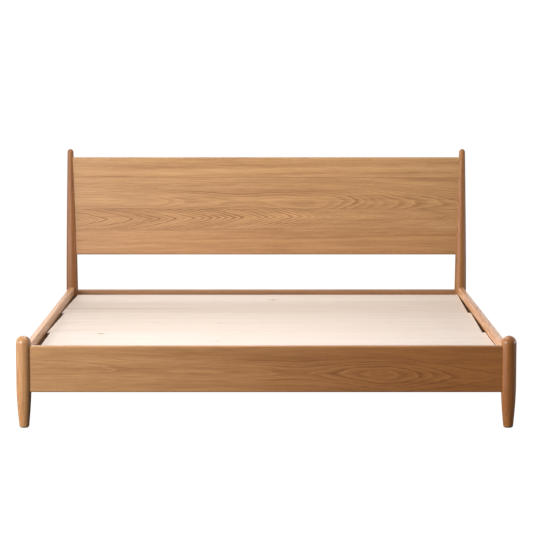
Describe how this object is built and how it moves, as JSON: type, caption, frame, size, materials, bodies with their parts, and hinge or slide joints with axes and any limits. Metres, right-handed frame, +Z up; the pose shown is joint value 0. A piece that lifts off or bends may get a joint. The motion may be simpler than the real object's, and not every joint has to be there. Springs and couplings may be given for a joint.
{
  "type": "bed frame",
  "caption": "Low double bed frame in oiled solid wood, with round tapered legs, a leaning plank headboard between tall round posts, and a flat deck of loose pale pine panels.",
  "frame": {"origin": "on the floor, under the middle of the bed's bounding box", "axes": "+Y from the foot of the bed to the headboard, along its length; +Z up; +X to the right as seen from the foot"},
  "size_m": [1.922, 2.1296, 0.968],
  "materials": {
    "oiled_oak": "oiled, satin, open grain",
    "deck_pine": "bare, planed, pale",
    "frame_pine": "bare, planed",
    "dark_plastic": "matt",
    "zinc_steel": "zinc plated"
  },
  "bodies": {
    "frame": {"centre_beam": "frame_pine", "centre_leg": "frame_pine", "centre_leg_bolt": "zinc_steel", "front_beam_hanger": "zinc_steel", "front_left_end_cleat": "frame_pine", "front_left_glide": "dark_plastic", "front_left_leg": "oiled_oak", "front_left_lower_nut": "zinc_steel", "front_left_lower_stud": "zinc_steel", "front_left_upper_nut": "zinc_steel", "front_left_upper_stud": "zinc_steel", "front_rail": "oiled_oak", "front_right_end_cleat": "frame_pine", "front_right_glide": "dark_plastic", "front_right_leg": "oiled_oak", "front_right_lower_nut": "zinc_steel", "front_right_lower_stud": "zinc_steel", "front_right_upper_nut": "zinc_steel", "front_right_upper_stud": "zinc_steel", "headboard_board_1": "oiled_oak", "headboard_board_2": "oiled_oak", "headboard_board_3": "oiled_oak", "headboard_board_4": "oiled_oak", "left_cleat_screw_front": "zinc_steel", "left_cleat_screw_middle": "zinc_steel", "left_cleat_screw_rear": "zinc_steel", "left_side_cleat": "frame_pine", "left_side_rail": "oiled_oak", "rear_beam_hanger": "zinc_steel", "rear_left_end_cleat": "frame_pine", "rear_left_glide": "dark_plastic", "rear_left_lower_nut": "zinc_steel", "rear_left_lower_stud": "zinc_steel", "rear_left_post": "oiled_oak", "rear_left_upper_nut": "zinc_steel", "rear_left_upper_stud": "zinc_steel", "rear_rail": "oiled_oak", "rear_right_end_cleat": "frame_pine", "rear_right_glide": "dark_plastic", "rear_right_lower_nut": "zinc_steel", "rear_right_lower_stud": "zinc_steel", "rear_right_post": "oiled_oak", "rear_right_upper_nut": "zinc_steel", "rear_right_upper_stud": "zinc_steel", "right_cleat_screw_front": "zinc_steel", "right_cleat_screw_middle": "zinc_steel", "right_cleat_screw_rear": "zinc_steel", "right_side_cleat": "frame_pine", "right_side_rail": "oiled_oak"},
    "front_deck": {"front_deck_left_batten": "frame_pine", "front_deck_panel": "deck_pine", "front_deck_right_batten": "frame_pine"},
    "middle_deck": {"middle_deck_left_batten": "frame_pine", "middle_deck_panel": "deck_pine", "middle_deck_right_batten": "frame_pine"},
    "rear_deck": {"rear_deck_left_batten": "frame_pine", "rear_deck_panel": "deck_pine", "rear_deck_right_batten": "frame_pine"},
    "levelling_foot": {"centre_levelling_foot": "dark_plastic"}
  },
  "joints": [
    {"name": "front_deck_lift", "type": "slide", "parent": "frame", "child": "front_deck", "axis": [0, 0, 1], "range_m": [0, 0.15]},
    {"name": "middle_deck_lift", "type": "slide", "parent": "frame", "child": "middle_deck", "axis": [0, 0, 1], "range_m": [0, 0.15]},
    {"name": "rear_deck_lift", "type": "slide", "parent": "frame", "child": "rear_deck", "axis": [0, 0, 1], "range_m": [0, 0.15]},
    {"name": "centre_foot_screw", "type": "slide", "parent": "frame", "child": "levelling_foot", "axis": [0, 0, 1], "range_m": [0, 0.01]}
  ]
}
